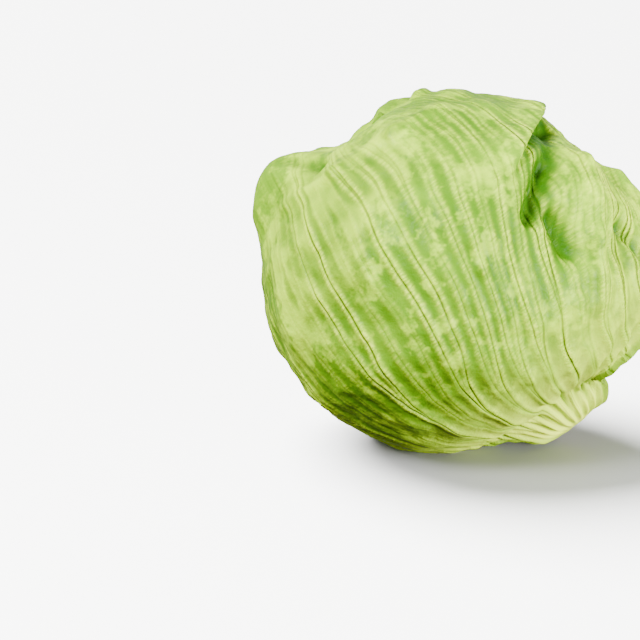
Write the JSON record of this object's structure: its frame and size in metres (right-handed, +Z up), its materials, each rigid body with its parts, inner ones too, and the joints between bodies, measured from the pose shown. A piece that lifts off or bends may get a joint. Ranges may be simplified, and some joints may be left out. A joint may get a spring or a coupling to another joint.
{
  "type": "head of lettuce",
  "caption": "Whole round head of crisphead lettuce lying on its side: thin overlapping leaves grown from a tapered stem core that is cut flat at the base.",
  "frame": {"origin": "on the table, under the middle of the head as it lies", "axes": "+Z up from the table, +X the side the cut stem points to, -Y the side the broad outer leaf faces"},
  "size_m": [0.1708, 0.1524, 0.1524],
  "materials": {
    "stem": "satin",
    "wrapper_leaf": "satin",
    "head_leaf": "satin",
    "heart_leaf": "satin"
  },
  "bodies": {
    "root": {"stem_core": "stem", "wrapper_leaf_1": "wrapper_leaf", "wrapper_leaf_2": "wrapper_leaf", "wrapper_leaf_3": "wrapper_leaf", "wrapper_leaf_4": "wrapper_leaf", "head_leaf_1": "head_leaf", "head_leaf_2": "head_leaf", "head_leaf_3": "head_leaf", "head_leaf_4": "head_leaf", "head_leaf_5": "head_leaf", "head_leaf_6": "head_leaf", "head_leaf_7": "head_leaf", "head_leaf_8": "head_leaf", "head_leaf_9": "head_leaf", "heart_leaf_1": "heart_leaf", "heart_leaf_2": "heart_leaf", "heart_leaf_3": "heart_leaf", "heart_leaf_4": "heart_leaf", "heart_leaf_5": "heart_leaf"}
  },
  "joints": []
}
